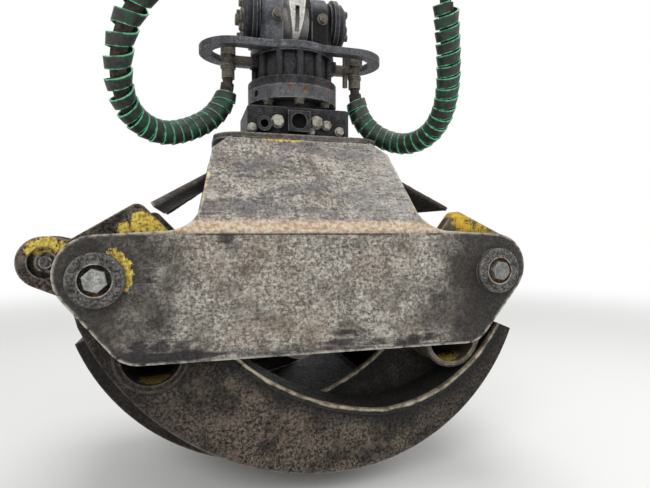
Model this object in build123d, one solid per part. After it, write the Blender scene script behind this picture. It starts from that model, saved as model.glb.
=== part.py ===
from build123d import *
import math
import os

# Timber grapple with rotator and hanger link, in millimetres, +Z up.
# X runs along the line of the two jaw pins, Y along the pins, and the front is at -Y.
# The origin is the centre of the crane pin's bore in the hanger link.

# Heights below the crane pin
crane_to_swing_pin = 150
crane_to_neck_top = 440

# Frame
jaw_pin_spacing = 780
drawn_pin_spacing = 780
frame_width = 496
frame_plate = 20
frame_end_radius = 69
frame_end_rise = 8
frame_bottom_drop = 152
frame_bottom_half = 350
frame_bottom_round = 60
shoulder_half = 285
fold_height = 83
neck_base_half = 227
neck_top_half = 186
neck_corner_cut = 28
neck_fillet = 66
neck_top_height = 280
neck_top_depth = 109
top_plate = 12
top_plate_corner = 60
brace_plate = 10
brace_low = (-304, 132)
brace_high_x = -150
brace_high_drop = 54

# Jaw pins and their ends
jaw_pin_radius = 27.5
running_clearance = 0.05
washer_radius = 47.5
washer_thickness = 14
washer_recess_radius = 27
washer_recess_depth = 8
washer_round = 4
bolt_flats = 36
bolt_head_height = 15
bolt_turn_left = 18
bolt_turn_right = 10

# Jaws, in the jaw's own frame: u inboard from its pin, w up
jaw_clearance = 11
outer_claw_width = 80
claw_gap = 6
claw_plate = 12
ear_outline = ((112, 10), (118, 82), (66, 137), (-50, 66), (-58, 10))
ear_round = 18
inner_ear_turn = 6.5
hub_radius = 45
hub_plate_radius = 60
claw_root = (150, -60)
tie_slot_margin = 25
tie_slot = 32
pocket_u = 85
pocket_w = -145
pocket_radius = 62
pocket_wall = 9
pocket_disc = 20
pocket_in = 60
pin_boss_radius = 34
eye_gap = 35
pin_stand = 6
inner_side_plate = 16
cheek_radius = 58
ring_u = -86
ring_w = 29
ring_radius = 45
ring_pin_radius = 18
ring_pin_tip = 11
ring_recess_radius = 27
ring_recess_depth = 12
tie_eye_radius = 28
tie_thickness = 22
tie_rise = 26
tip_length = 90
bite_lip = 5
outer_bite_start = 250
inner_bite_start = 275
tie_rise_u = 81
tie_neck_radius = 16

# Cylinder
cylinder_pin_radius = 22.5
barrel_radius = 47
barrel_start = 41
bore_radius = 40
rod_radius = 27.5
cylinder_eye_radius = 40
cylinder_eye_half = 33
base_wall_reach = 50
gland_to_eye = 20
gland_thickness = 32
piston_thickness = 20

# Rotator, heights above the top of the frame's neck
port_block_top = 75
rotor_seat_top = 94
rotor_ring_top = 124
stator_ring_top = 143
housing_top = 200
hoop_bottom = 205
hoop_top = 220
ring_outer_radius = 104
housing_radius = 88
rib_radius = 8
rib_circle = 88
rotor_seat_radius = 72
face_gap = 0.3
hoop_half_length = 215
hoop_half_width = 80
hoop_y = -4
hoop_band = 26
hoop_disc_radius = 98
port_block_half_x = 115
port_block_half_y = 88
port_boss_reach = 14
port_depth = 18
square_port = ((-30, 20), (20, 66))
square_port_bore = 17
ring_port = (-81, 34)
ring_port_radius = 16
ring_port_bore = 9
grease_port_angle = -153
grease_port_height = 111
grease_port_radius = 8

# Swing joint between link and rotator head
swing_pin_radius = 25
lug_radius = 62
lug_profile = ((-30, -38), (-20, -112), (-15, -155), (-8, -190), (0, -213),
               (8, -190), (15, -155), (20, -112), (30, -38))
slot_half_width = 5
slot_heights = (-184, -128)
slot_depth = 14
hub_boss_radius = 42
hub_boss_half = 32
cheek_in = 33
cheek_out = 82
cheek_lug_radius = 62
cheek_chamfer = 12
cover_radius = 64
cover_thickness = 36
cover_step = 7
crane_bore_radius = 25
crane_lug_radius = 55
crane_lug_half = 50

# Hoses
hose_diameter = 22
guard_diameter = 52
guard_start = 40
guard_end = 30
fitting_x = 151
fitting_y = -15
arm_height = -249
arm_radius = 11
port_reach = 100
elbow_half = 16
elbow_round = 5
elbow_top = -216
elbow_block_bottom = -240
elbow_neck_radius = 14
elbow_bottom = -262
nut_bottom = -270
ferrule_radius = 14.5
ferrule_end = -292
slim_fitting_radius = 6
slim_fitting_offset = 24
slim_fitting_end = -290

half_spacing = jaw_pin_spacing / 2
half_width = frame_width / 2
claw_out = half_width - frame_plate - jaw_clearance
claw_in = claw_out - outer_claw_width
slot_out = claw_out - tie_slot_margin
slot_in = slot_out - tie_slot
inner_half_width = claw_in - claw_gap
claw_stretch = jaw_pin_spacing / drawn_pin_spacing
crane_to_jaw_pins = crane_to_neck_top + neck_top_height
at_neck_top = Pos(0, 0, -crane_to_neck_top)
at_jaw_pins = Pos(0, 0, -crane_to_jaw_pins)
at_left_pin = Pos(-half_spacing, 0, -crane_to_jaw_pins)


def slab(profile, y_near, y_far):
    """Extrude an X-Z profile from one Y to another."""
    face = Plane.XZ.offset(-y_near) * profile
    return extrude(face, amount=y_far - y_near, dir=(0, 1, 0))


def disc_y(x, z, radius, y_near, y_far):
    """Cylinder along Y."""
    return slab(Pos(x, z) * Circle(radius), y_near, y_far)


def disc_x(y, z, radius, x_near, x_far):
    """Cylinder along X."""
    face = Plane.YZ.offset(x_near) * (Pos(y, z) * Circle(radius))
    return extrude(face, amount=x_far - x_near)


def disc_z(x, y, radius, z_low, z_high):
    """Cylinder along Z."""
    return Pos(x, y, z_low) * extrude(Circle(radius), amount=z_high - z_low)


def box_between(low, high):
    """Box from its low corner to its high corner."""
    size = [b - a for a, b in zip(low, high)]
    centre = [(a + b) / 2 for a, b in zip(low, high)]
    return Pos(*centre) * Box(*size)


def both_sides(shape):
    """The shape and its mirror image front to back, as one body."""
    return shape + mirror(shape, about=Plane.XZ)


def to_right(shape):
    """A jaw piece made about the left pin's frame, turned over to the right pin."""
    return mirror(shape, about=Plane.YZ)


def circle_edge(x, z, radius):
    """Round edge used to draw a hull."""
    return (Pos(x, z) * Circle(radius)).edge()


def hull(circles):
    """Outline drawn tight round circles given as (x, z, radius)."""
    return make_hull([circle_edge(*circle) for circle in circles])


os.makedirs("parts", exist_ok=True)
written = []


def write(name, shape):
    """Write one node as STEP."""
    shape.label = name
    export_step(shape, f"parts/{name}.step")
    written.append(name)


# Grapple frame: two folded plates, a top plate and two sloped braces.
shoulder_edge = Line((-shoulder_half, fold_height), (shoulder_half, fold_height))
bottom_edge = Line((-frame_bottom_half, -frame_bottom_drop), (frame_bottom_half, -frame_bottom_drop))
plate_face = make_hull([
    circle_edge(-half_spacing, frame_end_rise, frame_end_radius),
    circle_edge(half_spacing, frame_end_rise, frame_end_radius),
    shoulder_edge,
    bottom_edge,
])
bottom_corners = plate_face.vertices().group_by(Axis.Y)[0]
plate_face = fillet(bottom_corners, frame_bottom_round)
lower_plate = slab(plate_face, -half_width, -half_width + frame_plate)

neck_rise = neck_top_height - fold_height
neck_lean = half_width - neck_top_depth
neck_slant = math.hypot(neck_rise, neck_lean)
neck_over = frame_plate
neck_taper = (neck_base_half - neck_top_half) / neck_slant
neck_end_half = neck_top_half - neck_taper * neck_over
neck_face = Polygon(
    (-shoulder_half - 20, -20), (shoulder_half + 20, -20), (shoulder_half + 20, 0),
    (neck_base_half, 0), (neck_end_half, neck_slant + neck_over),
    (-neck_end_half, neck_slant + neck_over), (-neck_base_half, 0), (-shoulder_half - 20, 0),
    align=None,
)
neck_corners = [v for v in neck_face.vertices() if abs(v.Y) < 0.01 and abs(v.X) < neck_base_half + 1]
neck_face = fillet(neck_corners, neck_fillet)
neck_face = neck_face & Pos(0, neck_slant) * Rectangle(2 * shoulder_half, 2 * neck_slant)
neck_plane = Plane(
    origin=(0, -half_width, fold_height),
    x_dir=(1, 0, 0),
    z_dir=(0, -neck_rise, neck_lean),
)
neck_plate = extrude(neck_plane * neck_face, amount=-frame_plate)
above_neck = box_between((-half_spacing, -half_width, neck_top_height),
                         (half_spacing, half_width, neck_top_height + 2 * frame_plate))
cut_level = neck_top_height - neck_corner_cut
neck_cut = slab(Polygon(
    (neck_top_half - neck_corner_cut, neck_top_height), (neck_base_half, neck_top_height),
    (neck_base_half, cut_level - neck_corner_cut), (neck_top_half + neck_corner_cut / 4, cut_level),
    align=None,
), -half_width, half_width)
pin_holes = disc_y(-half_spacing, 0, jaw_pin_radius, -half_width, half_width)
pin_holes += disc_y(half_spacing, 0, jaw_pin_radius, -half_width, half_width)
front_plate = lower_plate + neck_plate - above_neck - pin_holes
front_plate -= neck_cut + mirror(neck_cut, about=Plane.YZ)
write("frame_front_plate", at_jaw_pins * front_plate)
write("frame_rear_plate", at_jaw_pins * mirror(front_plate, about=Plane.XZ))

top_low = (-neck_top_half, -neck_top_depth, neck_top_height)
top_high = (neck_top_half, neck_top_depth, neck_top_height + top_plate)
frame_top = fillet(box_between(top_low, top_high).edges().filter_by(Axis.Z), top_plate_corner)
write("frame_top_plate", at_jaw_pins * frame_top)

plate_level = frame_plate * neck_slant / neck_rise
inside_low = half_width - plate_level
inside_high = neck_top_depth - plate_level
inside_neck = Polygon(
    (-inside_low, fold_height), (inside_low, fold_height),
    (inside_high, neck_top_height), (-inside_high, neck_top_height), align=None,
)
inside_neck = extrude(Plane.YZ * inside_neck, amount=half_spacing, both=True)
brace_high = (brace_high_x, neck_top_height - brace_high_drop)
brace_length = math.dist(brace_low, brace_high)
brace_slope = math.degrees(math.atan2(brace_high[1] - brace_low[1], brace_high[0] - brace_low[0]))
brace_profile = Pos(*brace_low) * Rot(0, 0, brace_slope) * Pos(brace_length / 2, 0) * Rectangle(
    brace_length, brace_plate)
brace = slab(brace_profile, -half_width, half_width) & inside_neck
write("frame_roof_braces", at_jaw_pins * (brace + mirror(brace, about=Plane.YZ)))

# Jaw pins with their end washers and hex bolts.
washer_seat = half_width
washer = disc_y(0, 0, washer_radius, -washer_seat - washer_thickness, -washer_seat)
washer = fillet(washer.edges().filter_by(GeomType.CIRCLE).sort_by(Axis.Y)[0], washer_round)
recess_floor = -washer_seat - washer_thickness + washer_recess_depth
washer -= disc_y(0, 0, washer_recess_radius, -washer_seat - washer_thickness, recess_floor)
bolt_head = slab(RegularPolygon(bolt_flats / 2, 6, major_radius=False), recess_floor - bolt_head_height,
                 recess_floor)
head_cone = Plane.XZ.offset(-recess_floor + bolt_head_height) * Cone(
    bolt_flats / 2 + bolt_head_height * 2, bolt_flats / 2 - 1, bolt_head_height * 2,
    align=(Align.CENTER, Align.CENTER, Align.MAX))
bolt_head = bolt_head & head_cone
washers = []
bolts = []
for side, x, turn in (("left", -half_spacing, bolt_turn_left), ("right", half_spacing, bolt_turn_right)):
    pin = disc_y(x, 0, jaw_pin_radius, -washer_seat, washer_seat)
    write(f"jaw_pin_{side}", at_jaw_pins * pin)
    washers.append(Pos(x, 0, 0) * both_sides(washer))
    bolts.append(Pos(x, 0, 0) * Rot(0, turn, 0) * both_sides(bolt_head))
write("jaw_pin_washers", at_jaw_pins * Compound(children=[s for w in washers for s in w.solids()]))
write("jaw_pin_bolts", at_jaw_pins * Compound(children=[s for b in bolts for s in b.solids()]))


# Jaws. Each outline is drawn in the jaw's own frame, u inboard and w up from its pin.
# Both edges of a claw are two arcs, each given as start, middle and end.
def stretched(arcs):
    """Arcs whose inboard distances keep their proportion to the spacing of the jaw pins."""
    return [[(u * claw_stretch, w) for u, w in points] for points in arcs]


back_arcs = stretched((
    ((-36, -85), (165, -322), (420, -403)),
    ((420, -403), (690, -325), (839, -133)),
))
outer_bite_arcs = stretched((
    ((803, -118), (711, -222), (528, -283)),
    ((528, -283), (360, -238), (250, -167)),
))
inner_bite_arcs = stretched((
    ((803, -118), (711, -222), (528, -294)),
    ((528, -294), (360, -270), (222, -192)),
))


def claw_outline(bite_arcs):
    """Side of one claw, from the hub round the belly to the tip and back along the inner edge."""
    tip = Line(back_arcs[-1][2], bite_arcs[0][0])
    hub_side = hub_plate_radius - 2
    root = Polyline(bite_arcs[-1][2], claw_root, (hub_side, 0), (-hub_side, 0), back_arcs[0][0])
    arcs = [ThreePointArc(*points) for points in back_arcs + bite_arcs]
    return make_face([*arcs, tip, *root.edges()])


def moved_arcs(arcs, depth):
    """Both arcs of an edge, moved away from their centres by depth and joined where they meet."""
    rows = []
    for points in arcs:
        arc = ThreePointArc(*points)
        scale = (arc.radius + depth) / arc.radius
        rows.append([arc.arc_center + (Vector(*point) - arc.arc_center) * scale for point in points])
    first, second = rows
    joint = (first[2] + second[0]) * 0.5
    return [ThreePointArc(first[0], first[1], joint), ThreePointArc(joint, second[1], second[2])]


def claw_cavity(bite_arcs, bite_start):
    """Space between a claw's curved plates, open at the hub and closed by the solid tip."""
    back = moved_arcs(back_arcs, -claw_plate)
    bite = moved_arcs(bite_arcs, claw_plate)
    tip = Line(back[-1] @ 1, bite[0] @ 0)
    bite_end = bite[-1] @ 1
    root = Polyline(bite_end, (bite_end.X, hub_plate_radius), (-2 * hub_plate_radius, hub_plate_radius),
                    (-2 * hub_plate_radius, -hub_plate_radius), back[0] @ 0)
    inside = make_face([*back, tip, *bite, *root.edges()])
    inside -= Pos(*back_arcs[-1][2]) * Circle(tip_length)
    open_end = bite_start * claw_stretch
    open_width = open_end - bite_end.X + 20
    open_height = hub_plate_radius - bite_end.Y
    return inside + Pos(open_end - open_width / 2, bite_end.Y / 2) * Rectangle(open_width, open_height)


def claw_shell(bite_arcs, bite_start, y_near, y_far, side_plate):
    """Box claw of two side plates with hub rings, joined by the plates along its back and its bite."""
    shell = slab(claw_outline(bite_arcs), y_near, y_far)
    shell -= slab(claw_cavity(bite_arcs, bite_start), y_near + side_plate, y_far - side_plate)
    for near in (y_near, y_far - side_plate):
        shell += slab(Circle(hub_plate_radius), near, near + side_plate)
    return shell


def bite_edge(bite_arcs, y_near, y_far):
    """Edge of the plate along a claw's bite, from its tip to its root."""
    outer = [ThreePointArc(*points) for points in bite_arcs]
    inner = moved_arcs(bite_arcs, claw_plate)
    tip = Line(outer[0] @ 0, inner[0] @ 0)
    root = Line(outer[-1] @ 1, inner[-1] @ 1)
    return slab(make_face([*outer, root, *inner, tip]), y_near, y_far)


ear_face = Polygon(*ear_outline, align=None)
ear_apex = ear_face.vertices().sort_by(Axis.Y)[-1]
ear_face = fillet(ear_apex, ear_round)
pin_end = pocket_in + pocket_disc + pin_stand
pin_bore = disc_y(0, 0, jaw_pin_radius + running_clearance, -half_width, half_width)
pocket_bore = disc_y(pocket_u, pocket_w, pocket_radius - pocket_wall, -half_width, half_width)


def pocket(y_near):
    """Open tube round the cylinder pin, its inner end closed by a disc with a boss for the pin."""
    tube = disc_y(pocket_u, pocket_w, pocket_radius, y_near, -pocket_in)
    tube -= disc_y(pocket_u, pocket_w, pocket_radius - pocket_wall, y_near, -pocket_in - pocket_disc)
    return tube + disc_y(pocket_u, pocket_w, pin_boss_radius, -pocket_in, -eye_gap)


def tie_lug(y_near, y_far, u, w, radius):
    """Clevis plate that carries the tie bar's pin."""
    return slab(hull([(u, w, radius), (0, 0, hub_plate_radius - 6)]), y_near, y_far)


# Outer jaw, on the left pin: a box claw at the front and one at the rear.
box_claw = claw_shell(outer_bite_arcs, outer_bite_start, -claw_out, -claw_in, claw_plate)
box_claw += bite_edge(outer_bite_arcs, -claw_out - bite_lip, -claw_out)
box_claw += slab(ear_face, -claw_out, -claw_out + claw_plate)
box_claw += disc_y(0, 0, hub_radius, -claw_out, -slot_out)
box_claw += disc_y(0, 0, hub_radius, -slot_in, -claw_in)
box_claw = box_claw - pocket_bore + pocket(-claw_out) - pin_bore
cylinder_pin_hole = disc_y(pocket_u, pocket_w, cylinder_pin_radius, -half_width, half_width)
box_claw -= cylinder_pin_hole
ring_lugs = tie_lug(-claw_out, -slot_out, ring_u, ring_w, ring_radius)
ring_lugs += tie_lug(-slot_in, -claw_in, ring_u, ring_w, ring_radius)
ring_hole = disc_y(ring_u, ring_w, ring_pin_radius, -half_width, 0)
ring_hole += disc_y(ring_u, ring_w, ring_recess_radius, -half_width, -claw_out + ring_recess_depth)
front_claw = box_claw + ring_lugs - pin_bore - ring_hole
write("outer_claw_front", at_left_pin * front_claw)
write("outer_claw_rear", at_left_pin * mirror(box_claw, about=Plane.XZ))

web_angle = math.degrees(math.atan2(pocket_w, pocket_u))
web_reach = math.hypot(pocket_u, pocket_w)
web_face = Rot(0, 0, web_angle) * Pos(web_reach / 2, 0) * Rectangle(web_reach, 2 * claw_plate)
web = slab(web_face, -claw_in, -pocket_in)
web -= disc_y(pocket_u, pocket_w, pocket_radius, -claw_in, -pocket_in)
hub_tube = disc_y(0, 0, hub_radius, -claw_in, claw_in) + both_sides(web) - pin_bore
write("outer_hub_tube", at_left_pin * hub_tube)
base_pin = disc_y(pocket_u, pocket_w, cylinder_pin_radius, -pin_end, pin_end)
write("outer_cylinder_pin", at_left_pin * base_pin)
ring_floor = -claw_out + ring_recess_depth
ring_pin = disc_y(ring_u, ring_w, ring_pin_radius, ring_floor, -claw_in)
ring_pin += disc_y(ring_u, ring_w, ring_pin_tip, ring_floor - ring_recess_depth / 2, ring_floor)
write("outer_ring_pin", at_left_pin * ring_pin)

# Inner jaw, on the right pin: one claw that closes between the outer jaw's two.
inner_jaw = claw_shell(inner_bite_arcs, inner_bite_start, -inner_half_width, inner_half_width,
                       inner_side_plate)
inner_jaw -= disc_y(pocket_u, pocket_w, pocket_radius, -inner_half_width, inner_half_width)
inner_jaw -= pin_bore
write("inner_claw", at_jaw_pins * Pos(half_spacing, 0, 0) * to_right(inner_jaw))

cheek_face = hull([(0, 0, cheek_radius), (pocket_u, pocket_w, pocket_radius)])
cheek_face += Rot(0, 0, -inner_ear_turn) * ear_face
cheek = slab(cheek_face, -claw_out, -slot_out)
cheek = cheek - pocket_bore + pocket(-claw_out) - cylinder_pin_hole
tie_u = -ring_u
tie_w = -ring_w
front_cheek = cheek + tie_lug(-claw_out, -slot_out, tie_u, tie_w, tie_eye_radius + 4)
tie_hole = disc_y(tie_u, tie_w, ring_pin_radius, -half_width, 0)
front_cheek = front_cheek - pin_bore - tie_hole
rear_cheek = mirror(cheek, about=Plane.XZ) - pin_bore
write("inner_cheek_front", at_jaw_pins * Pos(half_spacing, 0, 0) * to_right(front_cheek))
write("inner_cheek_rear", at_jaw_pins * Pos(half_spacing, 0, 0) * to_right(rear_cheek))
inner_web = slab(web_face, -inner_half_width + inner_side_plate, -pocket_in)
inner_web -= disc_y(pocket_u, pocket_w, pocket_radius, -claw_in, -pocket_in)
tube_half = inner_half_width - inner_side_plate
inner_tube = disc_y(0, 0, hub_radius, -tube_half, tube_half) + both_sides(inner_web)
inner_tube -= pin_bore
write("inner_hub_tube", at_jaw_pins * Pos(half_spacing, 0, 0) * to_right(inner_tube))
hub_end = disc_y(0, 0, hub_radius, -slot_in, -inner_half_width)
hub_end += tie_lug(-slot_in, -claw_in, tie_u, tie_w, tie_eye_radius + 4)
hub_end = hub_end - pin_bore - tie_hole
rear_end = disc_y(0, 0, hub_radius, inner_half_width, slot_out) - pin_bore
hub_ends = Compound(children=[*hub_end.solids(), *rear_end.solids()])
write("inner_hub_ends", at_jaw_pins * Pos(half_spacing, 0, 0) * to_right(hub_ends))
rod_pin_end = disc_y(pocket_u, pocket_w, cylinder_pin_radius, -pin_end, -eye_gap)
tie_pin_end = disc_y(tie_u, tie_w, ring_pin_radius, -claw_out - 4, -slot_out)
tie_pin_back = disc_y(tie_u, tie_w, ring_pin_radius, -slot_in, -claw_in)
inner_pins = [*both_sides(rod_pin_end).solids(), *tie_pin_end.solids(), *tie_pin_back.solids()]
inner_pins = Compound(children=inner_pins)
write("inner_pin_ends", at_jaw_pins * Pos(half_spacing, 0, 0) * to_right(inner_pins))

# Cylinder between the two pockets, level, with its base on the outer jaw.
base_x = -half_spacing + pocket_u
rod_x = -base_x
closed_length = rod_x - base_x
gland_reach = closed_length - cylinder_eye_radius - gland_to_eye


def along(radius, start, end):
    """Cylinder along the cylinder's own axis, measured from the base pin."""
    return disc_x(0, pocket_w, radius, base_x + start, base_x + end)


base_eye = disc_y(base_x, pocket_w, cylinder_eye_radius, -cylinder_eye_half, cylinder_eye_half)
barrel_neck = box_between((base_x, -cylinder_eye_half, pocket_w - 30),
                          (base_x + barrel_start + 2, cylinder_eye_half, pocket_w + 30))
barrel = along(barrel_radius, barrel_start, gland_reach) + base_eye + barrel_neck
barrel += along(barrel_radius + 4, gland_reach - gland_thickness, gland_reach)
barrel -= along(bore_radius, base_wall_reach, gland_reach - gland_thickness)
barrel -= along(rod_radius + running_clearance, gland_reach - gland_thickness, gland_reach)
eye_bore = cylinder_pin_radius + running_clearance
barrel -= disc_y(base_x, pocket_w, eye_bore, -cylinder_eye_half, cylinder_eye_half)
write("cylinder_barrel", at_jaw_pins * barrel)

rod_eye = disc_y(rod_x, pocket_w, cylinder_eye_radius - 2, -cylinder_eye_half, cylinder_eye_half)
piston_start = base_wall_reach + 2
rod = along(bore_radius - 0.5, piston_start, piston_start + piston_thickness)
rod += along(rod_radius, piston_start, closed_length - cylinder_eye_radius + 8) + rod_eye
write("cylinder_rod", at_jaw_pins * rod)

# Tie bar from the outer jaw's ring pin to the inner jaw, raised to pass over the left pin.
tie_left = (-half_spacing + ring_u, ring_w)
tie_right = (half_spacing - tie_u, tie_w)
tie_neck = (tie_left[0] + tie_rise_u, tie_left[1] + tie_rise)
tie_mid = (slot_out + slot_in) / 2
tie_face = hull([(*tie_left, tie_eye_radius), (*tie_neck, tie_neck_radius)])
tie_face += hull([(*tie_neck, tie_neck_radius), (*tie_right, tie_eye_radius)])
tie_bar = slab(tie_face, -tie_mid - tie_thickness / 2, -tie_mid + tie_thickness / 2)
tie_bar -= disc_y(*tie_left, ring_pin_radius + running_clearance, -half_width, 0)
write("tie_bar", at_jaw_pins * tie_bar)

# Port block and rotor flange, which turn with the grapple.
block = box_between((-port_block_half_x, -port_block_half_y, top_plate),
                    (port_block_half_x, port_block_half_y, port_block_top))
block = chamfer(block.edges().filter_by(Axis.Z), 10)
square_low, square_high = square_port
port_y = -port_block_half_y - port_boss_reach
block += box_between((square_low[0], port_y, square_low[1]),
                     (square_high[0], -port_block_half_y, square_high[1]))
square_middle = [(low + high) / 2 for low, high in zip(square_low, square_high)]
block -= disc_y(*square_middle, square_port_bore, port_y, port_y + port_depth)
block += disc_y(*ring_port, ring_port_radius, port_y, -port_block_half_y)
block -= disc_y(*ring_port, ring_port_bore, port_y, port_y + port_depth)
write("port_block", at_neck_top * block)
rotor = disc_z(0, 0, rotor_seat_radius, port_block_top, rotor_seat_top)
rotor += disc_z(0, 0, ring_outer_radius, rotor_seat_top, rotor_ring_top)
rotor -= Rot(0, 0, grease_port_angle) * disc_x(
    0, grease_port_height, grease_port_radius, ring_outer_radius - port_depth, ring_outer_radius + 1)
write("rotor_flange", at_neck_top * rotor)

# Rotator head: ribbed stator, guard hoop, clevis with its swing pin.
stator = disc_z(0, 0, ring_outer_radius, rotor_ring_top + face_gap, stator_ring_top)
stator += disc_z(0, 0, housing_radius - rib_radius / 2, stator_ring_top, housing_top)
ribs = [Rot(0, 0, angle) * disc_z(rib_circle, 0, rib_radius, stator_ring_top, housing_top)
        for angle in range(0, 360, 30)]
for rib in ribs:
    stator += rib
stator += disc_z(0, 0, housing_radius + rib_radius, housing_top, hoop_bottom)
port_height = crane_to_neck_top + arm_height
port_bar = box_between((-port_reach, fitting_y - 15, port_height - 14),
                       (port_reach, fitting_y + 15, port_height + 13))
stator += port_bar
write("rotator_stator", at_neck_top * stator)

hoop_face = SlotOverall(2 * hoop_half_length, 2 * hoop_half_width)
hoop_face -= SlotOverall(2 * (hoop_half_length - hoop_band), 2 * (hoop_half_width - hoop_band))
hoop_face = Pos(0, hoop_y) * hoop_face + Circle(hoop_disc_radius)
hoop = Pos(0, 0, hoop_bottom) * extrude(hoop_face, amount=hoop_top - hoop_bottom)
write("guard_hoop", at_neck_top * hoop)

head_base = hoop_top - crane_to_neck_top
swing_z = -crane_to_swing_pin
cheek_profile = Pos(0, swing_z) * Circle(cheek_lug_radius)
cheek_profile += Pos(0, (swing_z + head_base) / 2) * Rectangle(2 * cheek_lug_radius, swing_z - head_base)
cheek_solid = extrude(Plane.YZ.offset(cheek_in) * cheek_profile, amount=cheek_out - cheek_in)
cheek_solid = chamfer(cheek_solid.faces().sort_by(Axis.X)[-1].edges().sort_by(Axis.Z)[1:], cheek_chamfer)
cheek_solid -= disc_x(0, swing_z, swing_pin_radius, 0, cheek_out)
clevis = cheek_solid + mirror(cheek_solid, about=Plane.YZ)
write("head_clevis", clevis)
write("swing_pin", disc_x(0, swing_z, swing_pin_radius, -cheek_out, cheek_out))
cover = disc_x(0, swing_z, cover_radius - cover_step, cheek_out, cheek_out + cover_thickness)
cover = chamfer(cover.edges().filter_by(GeomType.CIRCLE).sort_by(Axis.X)[-1], cover_step)
cover += disc_x(0, swing_z, cover_radius, cheek_out + cover_step, cheek_out + cover_thickness / 2)
write("damper_covers", cover + mirror(cover, about=Plane.YZ))

# Hanger link: lug on the swing pin, bored head for the crane pin at right angles to it.
lug_side = hull([(0, swing_z, lug_radius), (0, 0, crane_lug_radius - 4)])
lug = extrude(Plane.YZ * lug_side, amount=crane_lug_half, both=True)
lug &= slab(Polygon(*lug_profile, align=None), -crane_lug_half - lug_radius, crane_lug_half + lug_radius)
slot_low, slot_high = slot_heights
lug -= box_between((-slot_half_width, -lug_radius - 1, slot_low),
                   (slot_half_width, -lug_radius + slot_depth, slot_high))
link = lug + disc_y(0, 0, crane_lug_radius, -crane_lug_half, crane_lug_half)
link += disc_x(0, swing_z, hub_boss_radius, -hub_boss_half, hub_boss_half)
link -= disc_x(0, swing_z, swing_pin_radius + running_clearance, -hub_boss_half, hub_boss_half)
link -= disc_y(0, 0, crane_bore_radius, -crane_lug_half, crane_lug_half)
write("hanger_link", link)

# Hose elbows on the head and the ferrules that hang from them.
for side, sign in (("left", -1), ("right", 1)):
    x = sign * fitting_x
    arm_ends = sorted((sign * port_reach, x))
    block = box_between((x - elbow_half, fitting_y - elbow_half, elbow_block_bottom),
                        (x + elbow_half, fitting_y + elbow_half, elbow_top))
    elbow = fillet(block.edges().filter_by(Axis.Z), elbow_round)
    elbow += disc_z(x, fitting_y, elbow_neck_radius, elbow_bottom, elbow_block_bottom)
    elbow += disc_x(fitting_y, arm_height, arm_radius, *arm_ends)
    if side == "right":
        elbow += disc_z(x - slim_fitting_offset, fitting_y, slim_fitting_radius, slim_fitting_end, elbow_top)
    write(f"hose_elbow_{side}", elbow)
    nut = Pos(x, fitting_y, nut_bottom) * extrude(
        RegularPolygon(elbow_half - 1, 6, major_radius=False), amount=elbow_bottom - nut_bottom)
    ferrule = nut + disc_z(x, fitting_y, ferrule_radius, ferrule_end, nut_bottom)
    ferrule -= disc_z(x, fitting_y, hose_diameter / 2 + face_gap, ferrule_end, nut_bottom)
    write(f"hose_ferrule_{side}", ferrule)

# Hoses: each hangs from its ferrule in a loop and rises to its coupling.
left_route = [
    (-151, -15, -270), (-151, -15, -328), (-184, -24, -383), (-234, -45, -417), (-289, -73, -436),
    (-338, -111, -420), (-361, -155, -379), (-360, -193, -326), (-344, -224, -273), (-308, -248, -226),
    (-270, -271, -183),
]
right_route = [
    (151, -15, -270), (151, -15, -331), (184, -11, -385), (231, -28, -417), (271, -68, -430),
    (301, -115, -415), (312, -159, -375), (304, -195, -322), (287, -225, -269), (267, -251, -215),
    (249, -275, -161),
]


def hose_radii(points):
    """Arc radius at each inner point: 0.45 of the shorter run over the tangent of half the turn."""
    radii = []
    for before, here, after in zip(points, points[1:], points[2:]):
        run_in = Vector(*here) - Vector(*before)
        run_out = Vector(*after) - Vector(*here)
        half_turn = math.radians(run_in.get_angle(run_out) / 2)
        radii.append(0.45 * min(run_in.length, run_out.length) / math.tan(half_turn))
    return radii


def hose_path(points):
    """Straight runs joined by tangent arcs."""
    return FilletPolyline(*points, radius=hose_radii(points))


def tube(path, radius, hole=0):
    """Round tube along a path."""
    start = Plane(origin=path @ 0, z_dir=path % 0)
    section = Circle(radius) - Circle(hole) if hole else Circle(radius)
    solid = sweep(start * section, path=path)
    filled = solid.volume / path.length / math.pi / (radius ** 2 - hole ** 2)
    print("tube", round(path.length), "mm, volume over area x length", round(filled, 4))
    return solid


for side, route in (("left", left_route), ("right", right_route)):
    print("radii", side, [round(r) for r in hose_radii(route)])
    path = hose_path(route)
    write(f"hose_{side}", tube(path, hose_diameter / 2))
    guard_path = path.trim(guard_start / path.length, 1 - guard_end / path.length)
    write(f"hose_guard_{side}", tube(guard_path, guard_diameter / 2, hose_diameter / 2 + face_gap))
    end = Vector(*route[-1])
    direction = (end - Vector(*route[-2])).normalized()
    coupling = extrude(Plane(origin=end, z_dir=direction) * Circle(ferrule_radius), amount=40)
    coupling += extrude(
        Plane(origin=end + direction * 40, z_dir=direction) * RegularPolygon(17, 6, major_radius=False),
        amount=22)
    write(f"hose_coupling_{side}", coupling)

print(len(written), "nodes")
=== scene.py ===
import math

import bpy
from mathutils import Matrix, Vector


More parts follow.
